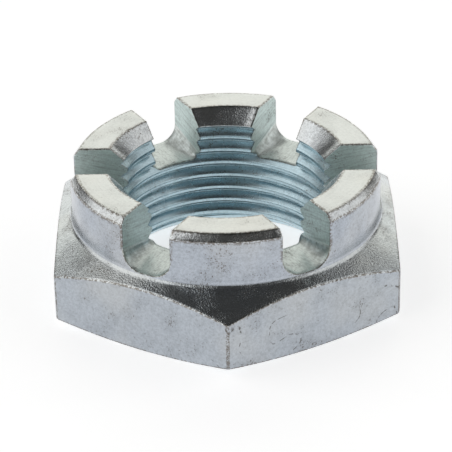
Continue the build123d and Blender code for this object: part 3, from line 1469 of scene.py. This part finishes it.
@dataclass(frozen=True)
class Softbox:
    """A soft-edged bright rectangle far away, seen by the world's direction.

    Attributes:
        azimuth: Direction of its middle in degrees, counted from +X towards +Y.
        elevation: Height of its middle above the horizon in degrees.
        half_width: Half its width in degrees.
        half_height: Half its height in degrees.
        color: Its light.
        softness: Share of its half sizes over which it fades out.
    """

    azimuth: float
    elevation: float
    half_width: float
    half_height: float
    color: tuple[float, float, float]
    softness: float = 0.2

    def glow(self, bench: ShaderBench, direction: Socket) -> Socket:
        """Light that comes from a direction.

        Args:
            bench: Where the nodes go.
            direction: The direction looked in.

        Returns:
            The colour of the light.
        """
        spin, rise = math.radians(self.azimuth), math.radians(self.elevation)
        ahead = (math.cos(rise) * math.cos(spin), math.cos(rise) * math.sin(spin), math.sin(rise))
        across = (-math.sin(spin), math.cos(spin), 0.0)
        upward = (-math.sin(rise) * math.cos(spin), -math.sin(rise) * math.sin(spin), math.cos(rise))
        facing = bench.math("MAXIMUM", bench.dot(direction, ahead), LEAST_FACING)
        level = bench.math("DIVIDE", bench.dot(direction, across), facing)
        plumb = bench.math("DIVIDE", bench.dot(direction, upward), facing)
        wide = self._fade(bench, level, self.half_width)
        high = self._fade(bench, plumb, self.half_height)
        return bench.scale(self.color, bench.product(wide, high))

    def _fade(self, bench: ShaderBench, place: Socket, half_angle: float) -> Socket:
        """Full light inside the box and none outside, with a soft edge between."""
        reach = math.tan(math.radians(half_angle))
        away = bench.math("ABSOLUTE", place)
        return bench.smooth(away, reach * (1 + self.softness), reach * (1 - self.softness))


@dataclass(frozen=True)
class Studio:
    """Floor, light and camera.

    Attributes:
        elevation: Height of the camera above the horizon in degrees.
        azimuth: Turn of the camera about Z in degrees, from the side that faces -Y.
        roll: Turn of the camera about its own line of sight in degrees.
        distance: Distance from the camera to its target.
        focal_share: Focal length as a share of the sensor's width.
        target: Place that the camera looks at, before the turn about Z.
        sensor: Width of the camera's sensor in millimetres.
        ambient: Light that comes from everywhere.
        behind: Panel behind the nut.
        left: Panel on the nut's left.
        right: Panel on the nut's right.
        front: Low panel in front of the nut.
        floor_color: Colour of the floor's paper.
        floor_glow: Light added where the floor is seen straight or in a reflection.
        floor_half: Half the side of the floor in metres.
    """

    elevation: float = 29.4
    azimuth: float = 0.4
    roll: float = -1.2
    distance: float = 315 * MM
    focal_share: float = 5.07
    target: tuple[float, float, float] = (-0.1 * MM, 0.0, 7.6 * MM)
    sensor: float = 36.0
    ambient: tuple[float, float, float] = (0.05, 0.05, 0.05)
    behind: Softbox = Softbox(azimuth=90, elevation=15, half_width=40, half_height=30, color=(1.0, 1.0, 0.95))
    left: Softbox = Softbox(azimuth=190, elevation=30, half_width=35, half_height=35, color=(1.0, 1.0, 1.0))
    right: Softbox = Softbox(azimuth=0, elevation=25, half_width=30, half_height=30, color=(0.8, 0.8, 0.8))
    front: Softbox = Softbox(azimuth=270, elevation=10, half_width=60, half_height=12, color=(0.7, 0.7, 0.7))
    floor_color: tuple[float, float, float, float] = (0.8, 0.8, 0.8, 1.0)
    floor_glow: float = 0.65
    floor_half: float = 3.0

    def build(self) -> None:
        """Make the floor, the light and the camera."""
        self._camera()
        self._world()
        self._floor()

    def _camera(self) -> None:
        """Camera that looks down on a corner of the nut."""
        camera = bpy.data.cameras.new("camera")
        camera.sensor_width = self.sensor
        camera.lens = self.sensor * self.focal_share
        holder = bpy.data.objects.new("camera", camera)
        bpy.context.scene.collection.objects.link(holder)
        spin = Matrix.Rotation(math.radians(self.azimuth), 4, "Z")
        tilt = Matrix.Rotation(math.radians(90 - self.elevation), 4, "X")
        roll = Matrix.Rotation(math.radians(self.roll), 4, "Z")
        back_off = Matrix.Translation((0, 0, self.distance))
        holder.matrix_world = spin @ Matrix.Translation(self.target) @ tilt @ roll @ back_off
        bpy.context.scene.camera = holder

    def _world(self) -> None:
        """Four large soft panels in a dim room: behind the nut, at its sides and low in front."""
        world = bpy.data.worlds.new("studio")
        world.use_nodes = True
        bench = ShaderBench(world.node_tree)
        direction = bench.add("ShaderNodeTexCoord").outputs["Generated"]
        light = self.behind.glow(bench, direction)
        for panel in (self.left, self.right, self.front):
            light = bench.total(light, panel.glow(bench, direction))
        light = bench.total(light, self.ambient)
        bench.feed(world.node_tree.nodes["Background"].inputs["Color"], light)
        bpy.context.scene.world = world

    def _floor(self) -> None:
        """Wide pale floor, the same all over."""
        half = self.floor_half
        mesh = bpy.data.meshes.new("floor")
        corners = [(-half, -half, 0), (half, -half, 0), (half, half, 0), (-half, half, 0)]
        mesh.from_pydata(corners, [], [(0, 1, 2, 3)])
        floor = bpy.data.objects.new("floor", mesh)
        mesh.materials.append(self._floor_material())
        bpy.context.scene.collection.objects.link(floor)

    def _floor_material(self) -> bpy.types.Material:
        """Matt paper that the camera, reflections and glass all see as white, with the nut's shadow kept."""
        material = bpy.data.materials.new("paper")
        material.use_nodes = True
        bench = ShaderBench(material.node_tree)
        paper = material.node_tree.nodes["Principled BSDF"]
        paper.inputs["Base Color"].default_value = self.floor_color
        paper.inputs["Roughness"].default_value = 1.0
        paper.inputs["Specular IOR Level"].default_value = 0.0
        path = bench.add("ShaderNodeLightPath").outputs
        seen = bench.math("MAXIMUM", path["Is Camera Ray"], path["Is Glossy Ray"])
        seen = bench.math("MAXIMUM", seen, path["Is Transmission Ray"])
        paper.inputs["Emission Color"].default_value = (1.0, 1.0, 1.0, 1.0)
        bench.feed(paper.inputs["Emission Strength"], bench.product(seen, self.floor_glow))
        return material


def main() -> None:
    """Build the nut and its studio, and report each piece."""
    logging.basicConfig(level=logging.INFO, format="%(name)s: %(message)s")
    bpy.context.scene.view_settings.view_transform = "Standard"
    nut = CastleNut(NutSizes.from_frame(), zinc_finishes_with_painted_light()).build()
    LOG.info("%s: %d points, %d faces", nut.name, len(nut.data.vertices), len(nut.data.polygons))
    Studio().build()
    LOG.info("studio: floor, light and camera")


if __name__ == "__main__":
    main()
